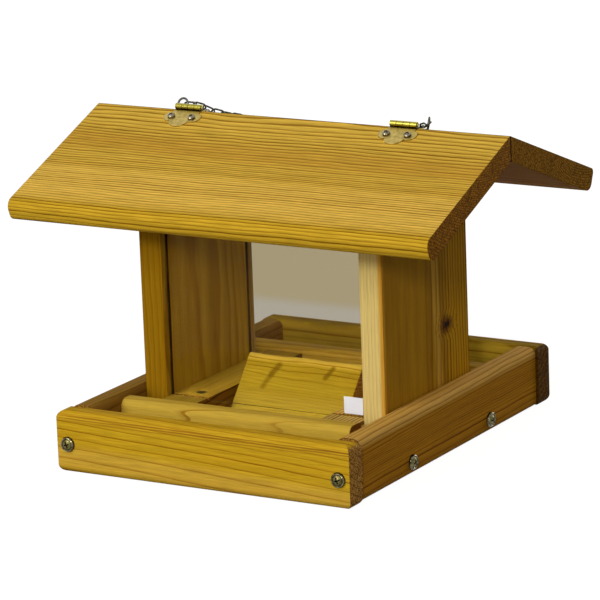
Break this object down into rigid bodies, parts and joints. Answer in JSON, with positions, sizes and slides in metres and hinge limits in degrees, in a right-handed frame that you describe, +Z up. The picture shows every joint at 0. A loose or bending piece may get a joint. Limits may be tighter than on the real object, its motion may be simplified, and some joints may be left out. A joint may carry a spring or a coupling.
{
  "type": "hanging hopper bird feeder",
  "caption": "Gable-roofed wooden seed hopper with clear panes over a railed tray; the front roof board lifts on brass hinges and a chain hangs it.",
  "frame": {"origin": "centre of the tray's footprint, on the plane that the rails stand on", "axes": "+X along the roof ridge, -Y the side whose roof board is the lid, +Z up"},
  "size_m": [0.359, 0.3238, 0.255],
  "materials": {
    "rail_wood": "oiled cedar, golden, grain along the rail",
    "floor_wood": "oiled cedar",
    "strip_wood": "oiled cedar, grain along the strip",
    "batten_wood": "oiled cedar, darker",
    "panel_wood": "oiled cedar, upright grain with a knot",
    "deflector_wood": "oiled cedar with knots",
    "roof_wood": "oiled cedar, golden, straight grain along the ridge",
    "clear_acrylic": "clear polished sheet",
    "brass": "brass-plated steel, satin",
    "small_screw_steel": "zinc-plated steel",
    "chain_steel": "bright zinc-plated wire",
    "screw_steel": "zinc-plated steel",
    "white_label": "blank white paper label"
  },
  "bodies": {
    "feeder": {"front_rail": "rail_wood", "rear_rail": "rail_wood", "left_rail": "rail_wood", "right_rail": "rail_wood", "floor_board": "floor_wood", "front_strip": "strip_wood", "rear_strip": "strip_wood", "left_batten": "batten_wood", "right_batten": "batten_wood", "left_panel": "panel_wood", "right_panel": "panel_wood", "front_deflector": "deflector_wood", "rear_deflector": "deflector_wood", "rear_roof_board": "roof_wood", "front_pane": "clear_acrylic", "rear_pane": "clear_acrylic", "left_rear_leaf": "brass", "right_rear_leaf": "brass", "left_hinge_pin": "brass", "right_hinge_pin": "brass", "rear_leaf_screws": "small_screw_steel", "left_screw_eye": "chain_steel", "right_screw_eye": "chain_steel", "hanging_chain": "chain_steel", "cup_washers": "screw_steel", "corner_screws": "screw_steel", "floor_end_screws": "screw_steel", "batten_screws": "screw_steel", "panel_screws": "screw_steel", "strip_screws": "screw_steel", "roof_screws": "screw_steel"},
    "lid": {"roof_lid": "roof_wood", "left_lid_leaf": "brass", "right_lid_leaf": "brass", "lid_leaf_screws": "small_screw_steel"}
  },
  "joints": [
    {"name": "roof_hinge", "type": "hinge", "parent": "feeder", "child": "lid", "pos_m": [0, 0, 0.25097], "axis": [-1, 0, 0], "range_deg": [0, 115]}
  ]
}
